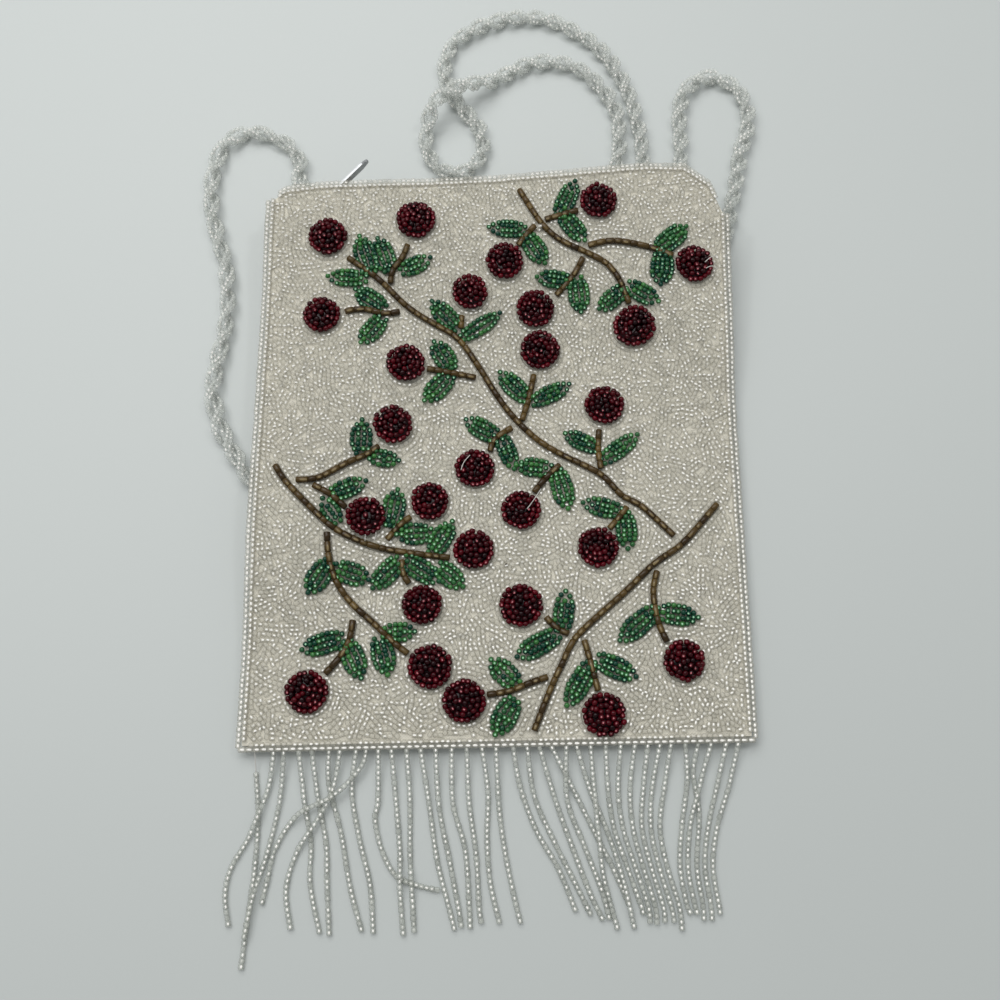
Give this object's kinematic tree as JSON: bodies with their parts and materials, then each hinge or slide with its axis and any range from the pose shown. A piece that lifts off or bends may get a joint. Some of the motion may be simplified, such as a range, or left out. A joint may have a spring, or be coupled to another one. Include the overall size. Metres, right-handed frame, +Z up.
{
  "type": "beaded crossbody bag",
  "caption": "Flat crossbody bag beaded all over with berry sprigs, with a bead rope strap, a zip and a bead fringe, lying on its back.",
  "frame": {"origin": "the flat part of the back, at the middle of the bag, on the surface it lies on", "axes": "+Z up out of the beaded front, +Y towards the zipped mouth, +X to the right as the front is seen"},
  "size_m": [0.2016, 0.3389, 0.0186],
  "materials": {
    "field_beads": "clear seed beads stitched on cloth",
    "edge_beads": "clear seed beads",
    "strap_beads": "clear seed beads",
    "fringe_beads": "clear seed beads",
    "berry_beads": "dark red glass beads",
    "sprig_beads": "green and bronze glass beads",
    "back_cloth": "plain woven cloth",
    "lining_cloth": "plain thin cloth",
    "zip_tape": "woven tape",
    "zip_metal": "grey metal"
  },
  "bodies": {
    "bag": {"back_panel": "back_cloth", "berry_01": "berry_beads", "berry_02": "berry_beads", "berry_03": "berry_beads", "berry_04": "berry_beads", "berry_05": "berry_beads", "berry_06": "berry_beads", "berry_07": "berry_beads", "berry_08": "berry_beads", "berry_09": "berry_beads", "berry_10": "berry_beads", "berry_11": "berry_beads", "berry_12": "berry_beads", "berry_13": "berry_beads", "berry_14": "berry_beads", "berry_15": "berry_beads", "berry_16": "berry_beads", "berry_17": "berry_beads", "berry_18": "berry_beads", "berry_19": "berry_beads", "berry_20": "berry_beads", "berry_21": "berry_beads", "berry_22": "berry_beads", "berry_23": "berry_beads", "berry_24": "berry_beads", "berry_25": "berry_beads", "berry_26": "berry_beads", "edge_beads_left": "edge_beads", "edge_beads_mouth_back": "edge_beads", "edge_beads_mouth_front": "edge_beads", "edge_beads_right": "edge_beads", "fringe_1": "fringe_beads", "fringe_2": "fringe_beads", "fringe_3": "fringe_beads", "fringe_4": "fringe_beads", "fringe_5": "fringe_beads", "fringe_6": "fringe_beads", "fringe_7": "fringe_beads", "fringe_8": "fringe_beads", "fringe_9": "fringe_beads", "front_panel": "field_beads", "lining_back": "lining_cloth", "lining_front": "lining_cloth", "sprig_left": "sprig_beads", "sprig_lower_right": "sprig_beads", "sprig_top_right": "sprig_beads", "sprig_upper": "sprig_beads", "strap": "strap_beads", "zip_stop_left": "zip_metal", "zip_stop_right": "zip_metal", "zip_tape_back": "zip_tape", "zip_tape_front": "zip_tape"},
    "slider": {"zip_slider": "zip_metal"},
    "pull": {"zip_pull": "zip_metal"}
  },
  "joints": [
    {"name": "zip_slide", "type": "slide", "parent": "bag", "child": "slider", "axis": [0.9984, 0.0558, 0], "range_m": [0, 0.11]},
    {"name": "pull_swing", "type": "hinge", "parent": "slider", "child": "pull", "pos_m": [-0.05704, 0.09316, 0.01065], "axis": [0, 0, 1], "range_deg": [-42, 128]}
  ]
}
